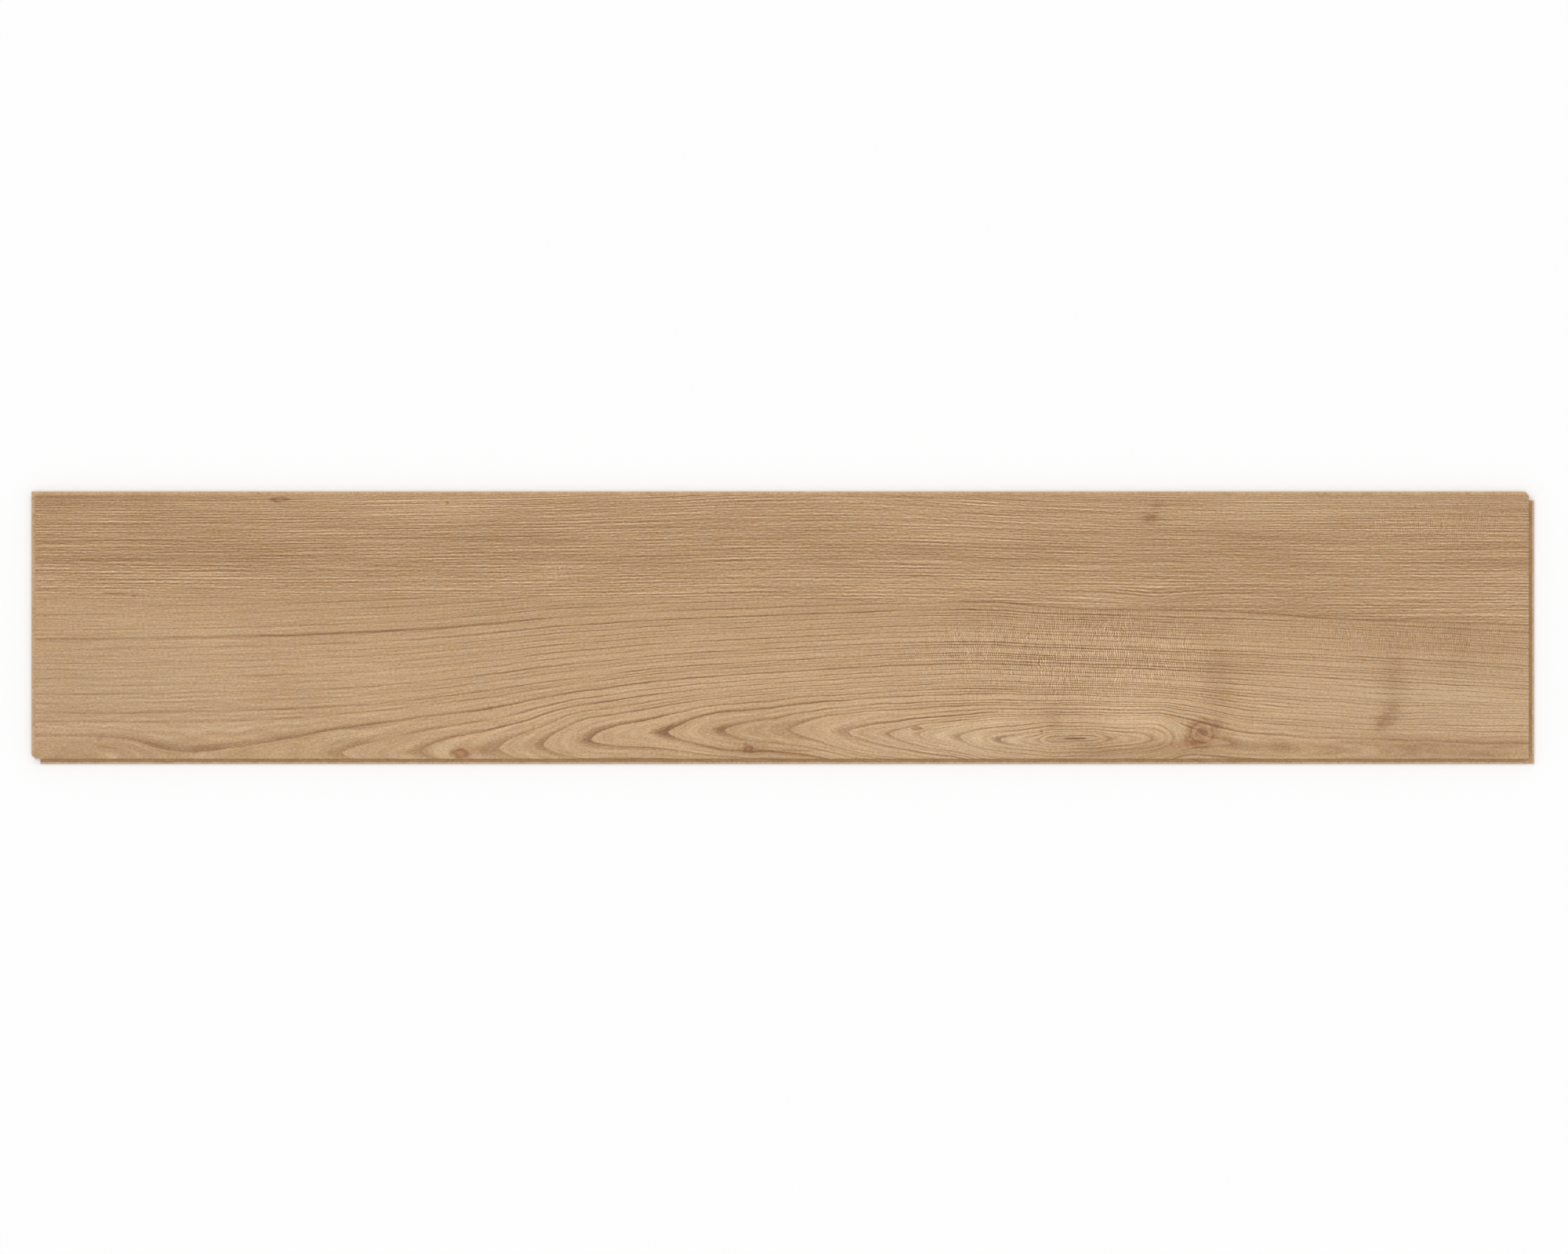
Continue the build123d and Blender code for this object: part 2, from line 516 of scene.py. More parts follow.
# Places are in mm from the middle of the face. A tone is a number of steps, of the 255 that a screen
# shows, above or below the print's mean. A drawn line is a list of points (place, height).
HEART_LINE = [
    (-692, -121), (-562, -121), (-412, -117.6), (-265, -111.5), (-180, -104), (-110, -97.5), (-56, -95.5),
    (4, -95), (60, -97), (162, -101.6), (200, -103), (329, -103.4), (365, -102.5), (394, -105),
    (437, -110), (510, -114), (692, -117.6),
]
FAR_HEART_LINE = [
    (-692, -121), (-412, -117.5), (-180, -104.5), (-56, -97), (60, -96.5), (264, -100.5), (692, -117),
]
# Radius of the ring that ends in a tip at each place
RING_TIPS = [
    (-692, 61), (-615, 61.7), (-562, 64.6), (-470, 63), (-412, 60.3), (-339, 56.6), (-265, 52.6),
    (-224, 49), (-180, 44.3), (-110, 40.3), (-56, 35.6), (4, 32), (60, 25.4), (98, 21.8), (125, 18.9),
    (162, 15.2), (200, 8.7), (237, 5), (264, 0), (305, 5), (343, 8.7), (362, 15), (375, 19), (394, 21),
    (474, 22), (692, 23.2),
]
FAR_RING_TIPS = [
    (-692, 61.6), (-560, 61.9), (-412, 60), (-265, 52.3), (-110, 40.2), (4, 30.6), (125, 18.5),
    (230, 10), (300, 9), (372, 14), (474, 19), (692, 23.2),
]
# Heights between which the rings turn from the lines near the heart to the smoother far ones
FAR_RINGS_START = [(-692, -108), (-430, -106), (-300, -92), (692, -90)]
FAR_RINGS_END = [(-692, -82), (-430, -76), (-300, -46), (692, -40)]
# Factor on the height above the heart, which spreads the rings where it is under 1, and each ring's radius
RING_SQUEEZE = [
    (-692, 0.9), (-459, 0.893), (-227, 0.918), (5, 1.0), (177, 0.99), (264, 1.01), (470, 0.99), (692, 0.985),
]
RING_RADII = [
    0, 5, 8.7, 15.2, 18.9, 21.8, 25.4, 32, 35.6, 40.3, 44.3, 49, 52.6, 56.6, 60.3, 65.3, 71.1, 74.8, 80, 85,
    90, 94.4, 100.2, 104.5, 109, 114, 121.2, 127.8, 133.6, 138.7, 144.5, 150.3, 160, 170, 180,
]
# How pointed the arches are: 2 is round, and 1 is straight
ARCH_POINT = 1.75
# A ring's line: its sharp inner edge and soft outer one, as shares of a ring, its tone and its strength
LINE_EDGE = 0.08
LINE_FADE = 0.22
LINE_FADE_POWER = 1.2
LINE_TONE = -66
LINE_STRENGTH = [
    (-692, 0.42), (-500, 0.45), (-400, 0.66), (-320, 0.78), (-250, 1.0), (-150, 1.15), (100, 1.2),
    (220, 1.6), (350, 1.5), (480, 0.98), (692, 0.88),
]
# A fainter second line in each ring: its place and half width, as shares of a ring, and its strength
SECOND_LINE = (0.58, 0.09)
SECOND_LINE_STRENGTH = [(-692, 0.3), (100, 0.45), (230, 0.8), (400, 0.7), (692, 0.55)]
# At its tip a line gains or loses strength, its edge is sharper and its spread wider. The power sets how
# soon that begins
TIP_STRENGTH = [
    (-692, 0), (-400, 0), (-339, -0.35), (-265, -0.15), (-180, -0.1), (-110, 0.15), (-56, -0.35),
    (4, -0.7), (60, -0.5), (99, -0.35), (125, -0.2), (162, -0.5), (200, -0.4), (237, -0.5), (305, -0.7),
    (692, -0.5),
]
TIP_POWER = 4
TIP_EDGE = 0.02
TIP_SPREAD = 0.25
# Lines are fainter on young rings, on the arms below the heart, and by lot and by tide along each ring
YOUNG_RINGS = (4, 36)
YOUNG_STRENGTH = 0.6
LOWER_ARMS = (-8, 2)
LOWER_STRENGTH = 0.65
FAINTEST_LINE = 0.5
TIDE_RANGE = (-0.2, 0.12)
LOW_TIDE = 0.4
NEXT_LOT = 0.5  # how much further on a ring's second lot is drawn
RING_LEVEL = 6  # tone of the wood between the lines
# Three rings stand out: a grey one, and two along the arches. Each has a radius, a half width and a tone
GREY_RING = (121.4, 1.3)
GREY_RING_TONE = [(-692, -18), (-560, -16), (-459, -24), (-330, -24), (-240, -14), (-150, -1), (692, 0)]
BROWN_RING = (65.6, 0.8)
BROWN_RING_TONE = [(-692, -8), (-590, -7), (-540, 0), (-450, -8), (-300, -10), (-200, -3), (692, -3)]
ARCH_RING = (40.6, 0.7)
ARCH_RING_TONE = [(-692, 0), (-96, 0), (-60, -16), (0, -24), (100, -20), (220, -8), (300, 0), (692, 0)]
# The fine grain: its lower edge, with a dark line along it, and how wide the change to the rings is
FINE_GRAIN_EDGE = [
    (-692, 27), (-459, 27), (-343, 29), (-216, 27), (-107, 24.7), (5, 25.4), (99, 21.8), (177, 23.6),
    (238, 19.6), (315, 16), (378, 15.2), (440, 13.1), (522, 7.6), (576, 6.1), (692, 2.2),
]
EDGE_LINE = (-0.4, 0.8)
EDGE_LINE_TONE = [(-692, 0), (60, 0), (110, -12), (180, -28), (300, -34), (450, -36), (692, -30)]
FINE_GRAIN_BLUR = [(-692, 9), (-250, 6), (60, 2.5), (692, 2)]
# How far its lines sag along the board, how much of that each height takes, and where they dip or stand out
FINE_GRAIN_SAG = [
    (-692, 20.3), (-459, 19.6), (-361, 17.4), (-227, 12.7), (-107, 5.8), (5, 0.4), (38, 0), (111, 2.2),
    (238, 11.6), (347, 17.4), (470, 21), (692, 21.4),
]
FINE_GRAIN_HOLD = [(-122, 0.2), (32, 0.2), (122, 1.13)]
FINE_GRAIN_PITCH = 2.75
FINE_GRAIN_TONE = 15
FINE_GRAIN_MEAN = 0.9  # depth of the lines, about which GRAIN_DEPTH swings
FINE_GRAIN_DIP = (347, 29, 34, 8)
FINE_GRAIN_DIP_DEPTH = 4
FINE_GRAIN_STRESS = (-600, 54, 130, 10)
FINE_GRAIN_STRESS_GAIN = 0.25
# Tone of the print from its lower side to its upper one
TONE_ACROSS = [
    (-122, -1), (-105, 3), (-85, 6), (-65, 6), (-45, 4.5), (-25, 2.5), (0, 0.5), (22, -3), (44, -4.5),
    (55, -8), (72, -10.5), (98, -7.5), (122, -6.5),
]
# Soft light and dark places of the print: along, across, half length, half width, tone
SHADES = [
    (-650, 112, 110, 10, -4), (-640, 122, 110, 5, -12), (-318, 111, 60, 12, 8), (660, 108, 70, 14, -4),
    (170, 108, 70, 12, 5), (440, 110, 50, 10, 6), (-260, 86, 70, 12, -5), (-640, -112, 100, 9, -8),
    (-620, -72, 150, 34, -8), (150, -106, 90, 20, 9), (312, -82, 40, 16, 8), (372, -114, 60, 6, -9),
    (-29, -111, 30, 9, -8), (610, -8, 120, 24, -8), (640, -113, 90, 9, -9), (485, -65, 40, 20, 4),
    (253, -85, 8, 14, -10), (404, -52, 14, 32, -12), (566, -52, 13, 32, -13), (628, -20, 12, 30, -5),
    (459, -108, 14, 4, -10), (562, -104, 45, 4, -8), (-212, 54, 12, 12, 6), (655, -119, 30, 2.5, -12),
    (-540, 66, 150, 12, -7), (480, 42, 150, 12, -5), (590, -62, 110, 14, 4), (540, -113, 130, 7, -7),
    (-665, -45, 50, 55, -4), (-455, -68, 36, 48, -6), (-330, -60, 100, 42, -4), (180, -58, 80, 50, 4),
    (325, -62, 60, 44, 5), (200, -84, 26, 12, 7), (318, -88, 16, 10, 5), (345, -90, 24, 18, 6),
    (-28, -88, 50, 12, -6), (310, -115, 36, 6, -8), (650, -112, 60, 8, -6), (170, 88, 130, 14, 5),
    (470, 112, 60, 10, 3), (-685, 112, 40, 10, -5), (-459, 22, 40, 10, -5), (-330, 22, 110, 10, -3),
    (365, 22, 36, 10, -5), (480, 20, 90, 10, -3), (-150, 44, 45, 10, -3), (640, -24, 60, 12, -4),
    (287, -109, 18, 10, -8), (345, -111, 20, 8, -6), (575, -109, 50, 9, -5), (5, -88, 20, 18, -5),
    (0, -117, 24, 6, -6), (287, -119, 24, 5, -5), (631, -119, 30, 5, -6),
]
# Places where the print is a little greyer: along, across, half length, half width, amount. It is a little
# grey all over, by the level
COOL_PLACES = [
    (-610, -60, 120, 60, 0.06), (600, -72, 130, 40, 0.07), (180, -108, 80, 12, 0.07),
    (560, 114, 130, 9, 0.05),
]
COOL_LEVEL = 0.07
COOL_INK = (162, 157, 148)
# Knots: along, across, half length, half width, tone, how far they push the grain aside
KNOTS = [
    (389, -98, 12, 10.5, -50, 4.0), (-298, -117, 7.8, 3.8, -52, 2.5), (-31, -113, 3.4, 2.4, -46, 1.2),
    (-466, 117.8, 7.5, 2.2, -38, 0.8),
]
# How dark the first knot is, from its middle out past its rim, and the same for the others, which are buds
KNOT_RINGS = [
    (0, 0.85), (0.2, 1.0), (0.34, 0.7), (0.42, 0.75), (0.52, 0.1), (0.6, 0.35), (0.68, 0.15), (0.8, 0.7),
    (0.92, 0.95), (1.04, 0.5), (1.14, 0.45), (1.5, 0),
]
BUD_RINGS = [(0, 0.35), (0.3, 0.35), (0.55, 0.75), (0.8, 1.0), (1.05, 0.6), (1.5, 0)]
KNOT_MEAN = 0.9  # depth of a knot, about which KNOT_PATCHES swing
# How red knots and smears are, and the rim over which a knot's flush comes up
KNOT_FLUSH = 0.22
KNOT_FLUSH_RIM = (1.5, 0.6)
SMEAR_FLUSH = 0.14
KNOT_INK = (166, 110, 66)
# How fast a knot's push on the grain fades outwards, and how softly it changes sides at the middle
PUSH_FADE = 0.25
PUSH_EASE = 0.6
# Reddish smears, where a knot is close below the face: along, across, half length, half width, tone
SMEARS = [
    (566, -75, 6, 7, -14), (560, -85, 8, 6, -24), (554, -91, 6, 5, -22), (341, 101.5, 7, 4.5, -30),
    (404, -90, 6, 5, -18), (411, -102, 6, 4, -18), (418, -108, 5, 2.5, -18), (380, -107, 9, 3, -30),
    (366, -109, 16, 2.5, -12), (305, -103.5, 8, 2.5, -14), (-285, -114, 16, 4, -12), (-27, -112, 12, 3, -14),
    (347, 113, 6, 3, -16), (377, -102.5, 5, 4, -20), (-34, -109.5, 1.6, 4, -20), (-26, -115.5, 5, 1.4, -16),
]
# Small dark and light marks: along, across, half length, half width, tone. Their rims are ragged, by a share
# of the knots' wobble along and across
MARKS = [
    (125, -94, 5.5, 1.8, -34), (-310, 114.7, 1.6, 1.6, -30), (-632, -104, 3, 2.2, -12),
    (-600, 29, 2, 1.6, -22), (240, -97, 1.6, 1.6, -28), (272, -103.3, 11, 1.1, -44),
    (-617, 31.4, 13, 0.8, -20), (0, -114.6, 34, 0.8, -20), (400, -96, 1.8, 3.4, 20), (396, -92, 3, 1.2, 16),
]
MARK_RIM = (1.3, 0.7)
MARK_WOBBLE = (0.3, 0.2)
# Rippled figure, among the rings and in the fine grain: along, across, half length, half width, strength
RING_RIPPLES = [(285, -22, 98, 42, 1.3), (165, -25, 60, 34, 0.45), (590, -8, 140, 30, 0.5)]
GRAIN_RIPPLES = [(610, 94, 80, 18, 0.6), (-212, 54, 12, 12, 0.6)]
RIPPLE_PITCH = 1.9
RIPPLE_TONE = 27
RIPPLE_MEAN = 0.9  # depth of the strokes, about which RIPPLE_PATCHES swing
# Towards the left the strokes fold to and fro: width of a fold, where that sets in, and how far it leans
RIPPLE_FOLD = 2.0
RIPPLE_FOLDS = (300, 180)
RIPPLE_FOLD_LEAN = 0.5
# Colours of the print by tone
GRAIN_INKS = [
    (-70, (107, 62, 14)), (-35, (145, 102.5, 57)), (0, (182, 144, 101)), (30, (214.5, 179, 137.5)),
    (60, (246, 213, 175)),
]
# Streaks of the print: length and width in mm, how far they swing a tone, a place or a share, seed, detail
Streaks = collections.namedtuple("Streaks", "length width swing seed detail")
LINE_SWAY = Streaks(200, 70, 1.4, 1, 1)
LINE_SHIVER = Streaks(16, 4, 1.4, 2, 2)
KNOT_WOBBLE = Streaks(7, 6, 5.0, 14, 2)
SMEAR_FIBRE = Streaks(3.5, 1.2, 2.4, 19, 1)
ARCH_SWAY = Streaks(70, 22, 6.0, 18, 1)
RING_FEATHER = Streaks(5, 0.9, 0.25, 8, 1)
TIP_FEATHER = Streaks(4, 0.6, 1.8, 20, 1)
KNOT_PATCHES = Streaks(9, 9, 2.0, 21, 1)
RING_FIBRE = Streaks(24, 0.8, 34, 5, 1)
RING_BANDS = Streaks(150, 6, 16, 4, 1)
LINE_TIDE = Streaks(50, 0.32, 1.0, 3, 2)
GRAIN_DRIFT = Streaks(400, 9, 2.2, 9, 1)
GRAIN_BANDS = Streaks(110, 5, 27, 25, 1)
GRAIN_DEPTH = Streaks(180, 6, 0.8, 10, 1)
GRAIN_THREADS = Streaks(80, 1.3, 68, 7, 1)
GRAIN_BREAKS = Streaks(7, 1.0, 54, 16, 1)
RIPPLE_LEAN = Streaks(40, 25, 5, 11, 0)
RIPPLE_STROKES = Streaks(0.9, 5, 60, 12, 0)
RIPPLE_SHIFT = Streaks(8, 6, 2.6, 22, 0)
RIPPLE_PATCHES = Streaks(24, 7, 1.0, 15, 0)
PRINT_GRIT = Streaks(2.6, 1.2, 58, 13, 1)
PRINT_CLOUDS = Streaks(50, 16, 10, 26, 1)
HUE_DRIFT = Streaks(16, 5, 0.28, 23, 1)
WEAR_PORES = Streaks(9, 0.5, 1.0, 17, 1)
# How far apart seeds lie in the noise, and how many widths a strand's dark side lies above its light one
SEED_STEP = 7.3
STRAND_STEP = 1.3
WEAR_ROUGHNESS = (0.5, 0.2)
WEAR_GLOSS = 0.35
WEAR_TOOTH = (0.04 * MM, 0.5)


def bell(value, middle, spread):
    """1 where the value is at its middle, falling off smoothly to 0 on both sides."""
    return worked("EXPONENT", worked("POWER", (value - middle) / spread, 2) * -1)


def joined(along, across):
    """A place along and across the board, as one vector."""
    node = placed(along.tree, "ShaderNodeCombineXYZ")
    feed(node.inputs["X"], along)
    feed(node.inputs["Y"], across)
    return Reading(along.tree, node.outputs["Vector"])


def speckle(along, across, streaks):
    """Smooth noise about 0, drawn out into streaks of that length and width."""
    tree = along.tree
    pulled = placed(tree, "ShaderNodeVectorMath", operation="MULTIPLY_ADD")
    feed(pulled.inputs[0], joined(along, across))
    feed(pulled.inputs[1], (1 / streaks.length, 1 / streaks.width, 0))
    feed(pulled.inputs[2], (0, 0, streaks.seed * SEED_STEP))
    noise = placed(tree, "ShaderNodeTexNoise", noise_dimensions="3D")
    tree.links.new(pulled.outputs["Vector"], noise.inputs["Vector"])
    feed(noise.inputs["Scale"], 1)
    feed(noise.inputs["Detail"], streaks.detail)
    return scaled(Reading(tree, noise.outputs["Fac"]), streaks.swing, -NOISE_MIDDLE * streaks.swing)


def strands(along, across, streaks):
    """Streaks that go light and dark in turn: noise, less the same noise a little further up."""
    return speckle(along, across, streaks) - speckle(along, across + streaks.width * STRAND_STEP, streaks)


def blended(share, first, second):
    """The first value where the share is 0, and the second where it is 1."""
    return share * (second - first) + first


def lot(number):
    """A value from 0 to 1, drawn by lot for each whole number."""
    noise = placed(number.tree, "ShaderNodeTexWhiteNoise", noise_dimensions="1D")
    feed(noise.inputs["W"], number)
    return Reading(number.tree, noise.outputs["Value"])


def drawn(value, points, straight=False):
    """A line drawn through points (place, height), read at the value."""
    first, last = points[0][0], points[-1][0]
    low = min(height for place, height in points)
    span = max(height for place, height in points) - low
    node = placed(value.tree, "ShaderNodeFloatCurve")
    node.mapping.extend = "HORIZONTAL"
    curve = node.mapping.curves[0]
    bends = [((place - first) / (last - first), (height - low) / span) for place, height in points]
    curve.points[0].location = bends[0]
    curve.points[1].location = bends[-1]
    for bend in bends[1:-1]:
        curve.points.new(*bend)
    for point in curve.points:
        point.handle_type = "VECTOR" if straight else "AUTO"
    node.mapping.update()
    feed(node.inputs["Value"], scaled(value, 1 / (last - first), -first / (last - first)))
    return scaled(Reading(value.tree, node.outputs["Value"]), span, low)


def spot_group():
    """A node group for an oval spot: how far off its middle a place is, its glow, and its two sides."""
    tree = bpy.data.node_groups.new("grain_spot", "ShaderNodeTree")
    for name in ("Place", "Middle", "Half size"):
        tree.interface.new_socket(name, in_out="INPUT", socket_type="NodeSocketVector")
    for name in ("Reach", "Glow", "Side"):
        tree.interface.new_socket(name, in_out="OUTPUT", socket_type="NodeSocketFloat")
    given = placed(tree, "NodeGroupInput")
    off = placed(tree, "ShaderNodeVectorMath", operation="SUBTRACT")
    share = placed(tree, "ShaderNodeVectorMath", operation="DIVIDE")
    squared = placed(tree, "ShaderNodeVectorMath", operation="DOT_PRODUCT")
    split = placed(tree, "ShaderNodeSeparateXYZ")
    tree.links.new(given.outputs["Place"], off.inputs[0])
    tree.links.new(given.outputs["Middle"], off.inputs[1])
    tree.links.new(off.outputs["Vector"], share.inputs[0])
    tree.links.new(given.outputs["Half size"], share.inputs[1])
    tree.links.new(share.outputs["Vector"], squared.inputs[0])
    tree.links.new(share.outputs["Vector"], squared.inputs[1])
    tree.links.new(share.outputs["Vector"], split.inputs[0])
    square = Reading(tree, squared.outputs["Value"])
    above = Reading(tree, split.outputs["Y"])
    made = placed(tree, "NodeGroupOutput")
    feed(made.inputs["Reach"], worked("SQRT", square))
    feed(made.inputs["Glow"], worked("POWER", 1 / math.e, square))
    push = worked("EXPONENT", square * -PUSH_FADE)
    feed(made.inputs["Side"], push * above / (worked("ABSOLUTE", above) + PUSH_EASE))
    return tree


def spot(place, oval):
    """One placed spot group on an oval (along, across, half length, half width), as its readings by name."""
    along, across, half_length, half_width = oval
    node = placed(place.tree, "ShaderNodeGroup", node_tree=SPOT)
    feed(node.inputs["Place"], place)
    feed(node.inputs["Middle"], (along, across, 0))
    feed(node.inputs["Half size"], (half_length, half_width, 1))
    return {port.name: Reading(place.tree, port) for port in node.outputs}


def glows(place, ovals):
    """The glow of several ovals (along, across, half length, half width, strength) together."""
    total = 0
    for *oval, strength in ovals:
        total = scaled(spot(place, oval)["Glow"], strength, total)
    return total


def ripple(along, across, ovals):
    """Short strokes across the grain, where the ovals lie."""
    fold = worked("PINGPONG", across, RIPPLE_FOLD) * eased(along, *RIPPLE_FOLDS) * RIPPLE_FOLD_LEAN
    place = along + speckle(along, across, RIPPLE_LEAN) + fold
    turns = place / RIPPLE_PITCH + speckle(along, across, RIPPLE_SHIFT)
    strokes = worked("SINE", turns * (2 * math.pi)) * RIPPLE_TONE + speckle(place, across, RIPPLE_STROKES)
    patch = worked("MINIMUM", glows(joined(along, across), ovals), 1)
    return strokes * patch * (speckle(along, across, RIPPLE_PATCHES) + RIPPLE_MEAN)


def growth_rings(along, height):
    """The tone of the rings: a dark line at the end of each year's growth, sharp inside and soft outside."""
    far = eased(height, drawn(along, FAR_RINGS_START), drawn(along, FAR_RINGS_END))
    height = height + speckle(along, height, ARCH_SWAY) * (1 - far)
    heart = blended(far, drawn(along, HEART_LINE), drawn(along, FAR_HEART_LINE))
    tip = blended(far, drawn(along, RING_TIPS), drawn(along, FAR_RING_TIPS))
    above = height - heart
    rise = worked("ABSOLUTE", above * drawn(along, RING_SQUEEZE))
    arch = (rise ** ARCH_POINT + tip ** ARCH_POINT) ** (1 / ARCH_POINT)
    radius = arch + speckle(along, height, RING_FEATHER)
    steps = [(place, number) for number, place in enumerate(RING_RADII)]
    ring = drawn(radius, steps, straight=True) + LINE_EDGE
    number = worked("FLOOR", ring)
    share = worked("FRACT", ring)
    tipness = worked("POWER", tip / radius, TIP_POWER, held=True)
    feather = speckle(along, height, TIP_FEATHER) * tipness
    spread = (share - LINE_EDGE) / (tipness * TIP_SPREAD + 1) / LINE_FADE
    fade = worked("SUBTRACT", 1, spread + feather, held=True) ** LINE_FADE_POWER
    line = eased(share, 0, blended(tipness, LINE_EDGE, TIP_EDGE)) * fade
    second = bell(share, *SECOND_LINE) * drawn(along, SECOND_LINE_STRENGTH)
    second = second * lot(number + NEXT_LOT) * (1 - tipness)
    strength = drawn(along, LINE_STRENGTH) + tipness * drawn(along, TIP_STRENGTH)
    strength = strength * blended(eased(radius, *YOUNG_RINGS), YOUNG_STRENGTH, 1)
    strength = strength * blended(eased(above, *LOWER_ARMS), LOWER_STRENGTH, 1)
    weight = blended(lot(number), FAINTEST_LINE, 1)
    tide = blended(eased(speckle(along, number, LINE_TIDE), *TIDE_RANGE), LOW_TIDE, 1)
    line = line * weight * worked("MAXIMUM", tide, tipness)
    tone = (line + second) * strength * LINE_TONE + RING_LEVEL
    tone = tone + strands(along, radius, RING_FIBRE) + speckle(along, radius, RING_BANDS)
    tone = tone + bell(radius, *GREY_RING) * drawn(along, GREY_RING_TONE)
    tone = tone + bell(radius, *ARCH_RING) * drawn(along, ARCH_RING_TONE)
    return tone + bell(radius, *BROWN_RING) * drawn(along, BROWN_RING_TONE)


def fine_grain(along, across, height):
    """The tone of the straight grain: light and dark lines, evenly spaced, that sag in a long arch."""
    place = joined(along, across)
    dip = spot(place, FINE_GRAIN_DIP)["Glow"] * FINE_GRAIN_DIP_DEPTH
    level = height + drawn(along, FINE_GRAIN_SAG) * drawn(across, FINE_GRAIN_HOLD) + dip
    comb = worked("SINE", (level / FINE_GRAIN_PITCH + speckle(along, level, GRAIN_DRIFT)) * (2 * math.pi))
    lines = comb * (speckle(along, level, GRAIN_DEPTH) + FINE_GRAIN_MEAN) * FINE_GRAIN_TONE
    threads = strands(along, level, GRAIN_THREADS) + strands(along, level, GRAIN_BREAKS)
    threads = threads + speckle(along, level, GRAIN_BANDS)
    return (lines + threads) * (spot(place, FINE_GRAIN_STRESS)["Glow"] * FINE_GRAIN_STRESS_GAIN + 1)


def oak_decor():
    """The printed film under its wear layer."""
    film, tree, shader = surface("oak_decor")
    along, across, _ = board_place(tree)
    place = joined(along, across)

    # Every line of the print wanders a little, and bends round the knots
    wobble = speckle(along, across, KNOT_WOBBLE)
    frayed = joined(along + wobble, across + wobble)
    knots = [spot(frayed, oval[:4]) for oval in KNOTS]
    level = across + speckle(along, across, LINE_SWAY)
    for knot, (*_, push) in zip(knots, KNOTS):
        level = level - knot["Side"] * push
    height = level + speckle(along, across, LINE_SHIVER)

    blur = drawn(along, FINE_GRAIN_BLUR)
    above = height - drawn(along, FINE_GRAIN_EDGE)
    upper = eased(above, blur * -1, blur)
    rings = growth_rings(along, height) + ripple(along, across, RING_RIPPLES)
    grain = fine_grain(along, across, level) + ripple(along, across, GRAIN_RIPPLES)
    tone = blended(upper, rings, grain) + bell(above, *EDGE_LINE) * drawn(along, EDGE_LINE_TONE)
    tone = tone + speckle(along, across, PRINT_GRIT) + speckle(along, across, PRINT_CLOUDS)
    tone = tone + drawn(across, TONE_ACROSS) + glows(place, SHADES)

    # Knots and smears are darker and redder than the wood, and marks are only darker or lighter
    flush = 0
    patches = speckle(along, across, KNOT_PATCHES) + KNOT_MEAN
    for knot, (*_, step, _) in zip(knots, KNOTS):
        figure = KNOT_RINGS if knot is knots[0] else BUD_RINGS
        tone = tone + drawn(knot["Reach"], figure) * patches * step
        flush = eased(knot["Reach"], *KNOT_FLUSH_RIM) * KNOT_FLUSH + flush
    fibre = speckle(along, across, SMEAR_FIBRE) + 1
    for *oval, step in SMEARS:
        smear = spot(frayed, oval)["Glow"] * fibre
        tone = tone + smear * step
        flush = smear * SMEAR_FLUSH + flush
    ragged = joined(along + wobble * MARK_WOBBLE[0], across + wobble * MARK_WOBBLE[1])
    for *oval, step in MARKS:
        tone = tone + eased(spot(ragged, oval)["Reach"], *MARK_RIM) * step

    cool = glows(place, COOL_PLACES) + speckle(along, across, HUE_DRIFT) + COOL_LEVEL
    wood = tinted(cool, inked(tone, GRAIN_INKS), ink(*COOL_INK))
    feed(shader.inputs["Base Color"], tinted(flush, wood, ink(*KNOT_INK)))

    pores = speckle(along, across, WEAR_PORES)
    roughened(shader, pores, *WEAR_ROUGHNESS)
    feed(shader.inputs["Specular IOR Level"], WEAR_GLOSS)
    toothed(shader, pores, *WEAR_TOOTH)
    return film


def press_on(film, facing):
    """Presses a film on to the board's flat face that looks up, facing 1, or down, facing -1."""
    board.materials.append(film)
    for face in board.polygons:
        if face.normal.z * facing > FLAT:
            face.material_index = len(board.materials) - 1


SPOT = spot_group()
press_on(oak_decor(), 1)

# Backing film
# A sheet of plain brown resin paper, pressed on to the underside so that the board stays flat. Its long
# fibres lie in every direction, and it is cloudy where it took up more resin.
BACKING_INKS = [(-0.4, (122, 92, 62)), (0, (158, 125, 90)), (0.4, (183, 152, 116))]
BACKING_FIBRES = [(4.0, 0.5, 1.0), (0.5, 4.0, 1.0)]
BACKING_FIBRE_SHARE = 0.5
BACKING_CLOUDS = (26, 18, 4)
BACKING_ROUGHNESS = (0.62, 0.2)
BACKING_TOOTH = (0.03 * MM, 0.5)


def resin_paper():
    """The backing film."""
    film, tree, shader = surface("resin_paper")
    fibre = flecks(tree, BACKING_FIBRES[0]) + flecks(tree, BACKING_FIBRES[1])
    tone = fibre * BACKING_FIBRE_SHARE + flecks(tree, BACKING_CLOUDS)
    feed(shader.inputs["Base Color"], inked(tone, BACKING_INKS))
    roughened(shader, fibre, *BACKING_ROUGHNESS)
    toothed(shader, fibre, *BACKING_TOOTH)
    return film


press_on(resin_paper(), -1)

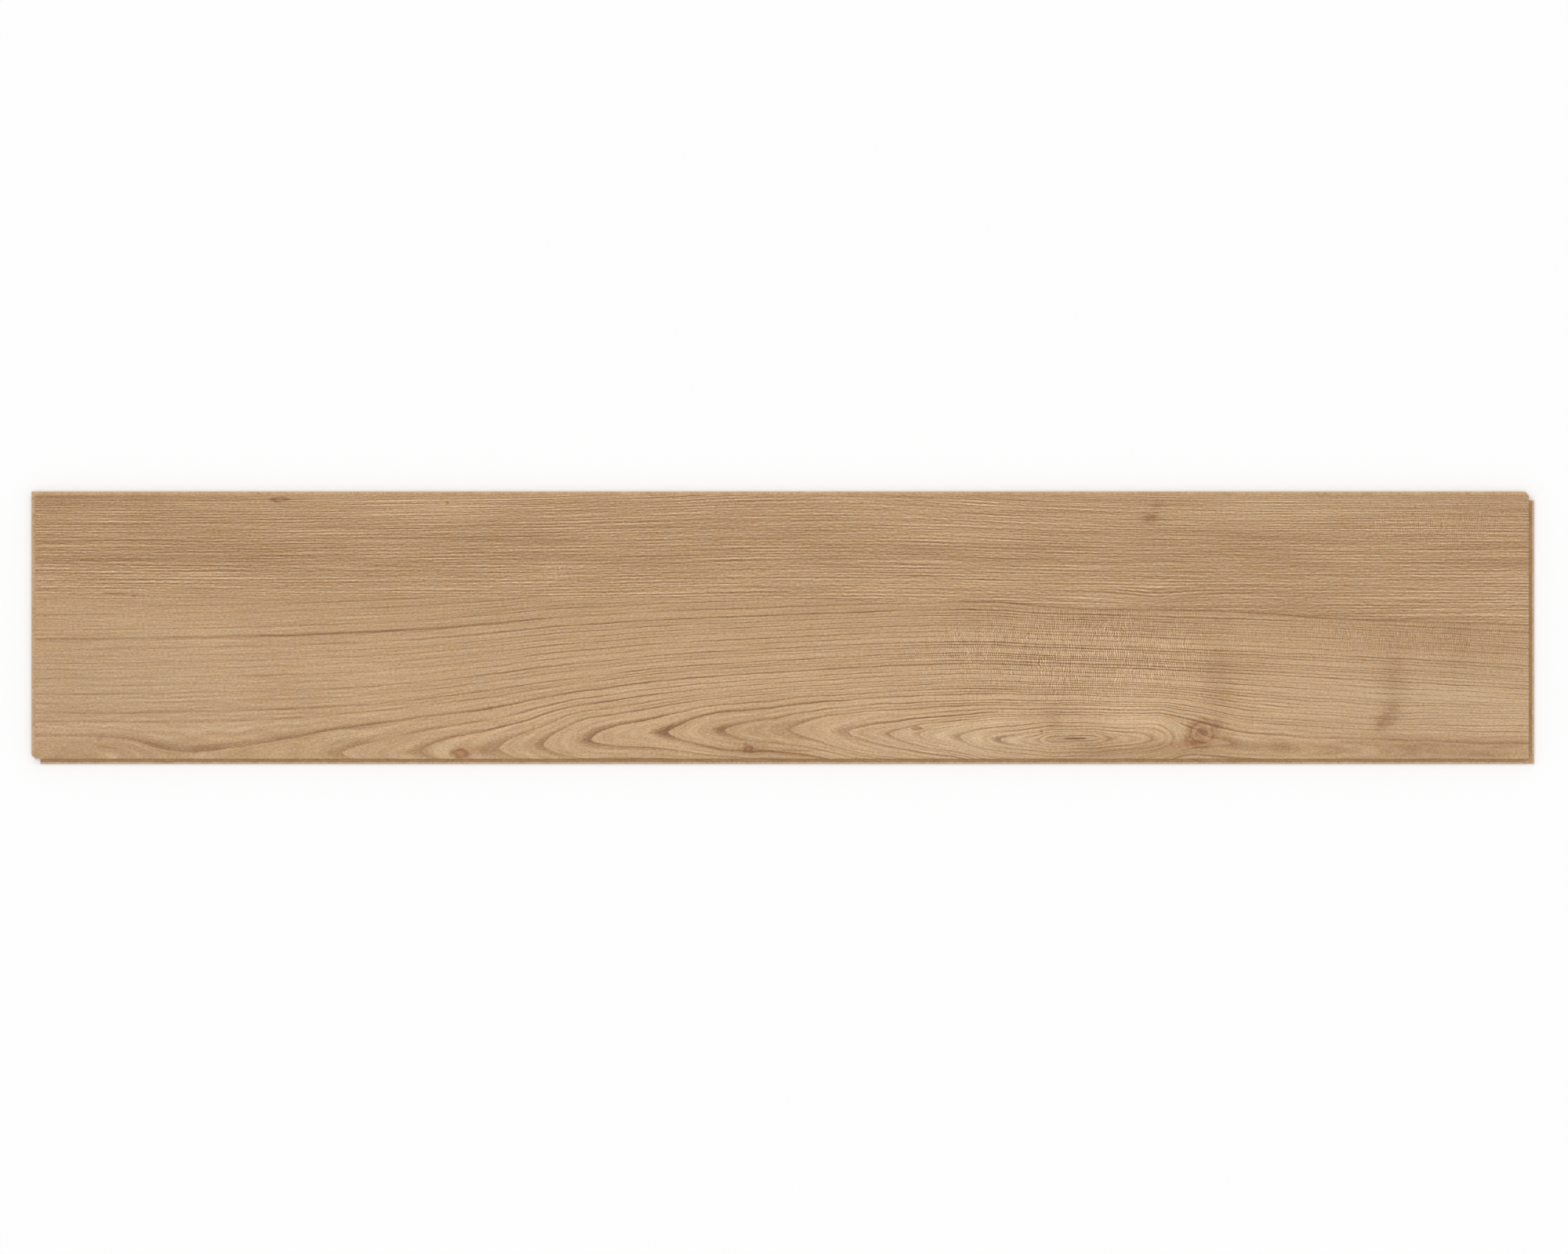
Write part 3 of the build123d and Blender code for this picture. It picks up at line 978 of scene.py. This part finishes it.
# Studio
# A plain white floor under a soft even light, seen from straight above as the plank lies on it. What the
# camera sees of the floor and the sky is white, and what lights the plank stays at a plain level.
PHOTO_WIDTH = 2000  # pixels, as are the next two
FACE_IN_PHOTO = 1905
FACE_MIDDLE = 997.5
FLOOR_SIZE = 12.0
FLOOR_DROP = 0.1 * MM
FLOOR_WHITE = 0.8
CAMERA_HEIGHT = 2.0
SKY_STRENGTH = 0.6
SUN_STRENGTH = 0.4
SUN_SPREAD = math.radians(60)
SUN_TURN = (math.radians(-10), math.radians(-8), 0)


def seen(tree):
    """1 for what the camera sees, straight or in a reflection, and 0 for what only lights the scene."""
    path = placed(tree, "ShaderNodeLightPath")
    kinds = ("Camera", "Glossy", "Transmission")
    straight, glossy, passing = [Reading(tree, path.outputs[f"Is {kind} Ray"]) for kind in kinds]
    return worked("MAXIMUM", worked("MAXIMUM", straight, glossy), passing)


scene = bpy.context.scene
scene.view_settings.view_transform = "Standard"

floor_mesh = bpy.data.meshes.new("floor")
corner = FLOOR_SIZE / 2
turns = [(-1, -1), (1, -1), (1, 1), (-1, 1)]
floor_mesh.from_pydata([(x * corner, y * corner, -FLOOR_DROP) for x, y in turns], [], [(0, 1, 2, 3)])
floor = bpy.data.objects.new("floor", floor_mesh)
scene.collection.objects.link(floor)
floor_paint, floor_tree, floor_shader = surface("white_floor")
floor_shader.inputs["Roughness"].default_value = 1
floor_shader.inputs["Specular IOR Level"].default_value = 0
feed(floor_shader.inputs["Base Color"], tinted(seen(floor_tree), (*[FLOOR_WHITE] * 3, 1), (1, 1, 1, 1)))
floor_mesh.materials.append(floor_paint)

world = bpy.data.worlds.new("studio")
scene.world = world
world.use_nodes = True
sky = world.node_tree.nodes["Background"]
sky.inputs["Color"].default_value = (1, 1, 1, 1)
feed(sky.inputs["Strength"], seen(world.node_tree) * (1 - SKY_STRENGTH) + SKY_STRENGTH)

sun = bpy.data.lights.new("soft_light", "SUN")
sun.energy = math.pi * SUN_STRENGTH
sun.angle = SUN_SPREAD
lamp = bpy.data.objects.new("soft_light", sun)
lamp.rotation_euler = SUN_TURN
scene.collection.objects.link(lamp)

camera = bpy.data.objects.new("camera", bpy.data.cameras.new("camera"))
scene.collection.objects.link(camera)
camera.data.type = "ORTHO"
camera.data.ortho_scale = FACE_LENGTH * PHOTO_WIDTH / FACE_IN_PHOTO
camera.location = ((PHOTO_WIDTH / 2 - FACE_MIDDLE) * FACE_LENGTH / FACE_IN_PHOTO, 0, CAMERA_HEIGHT)
scene.camera = camera
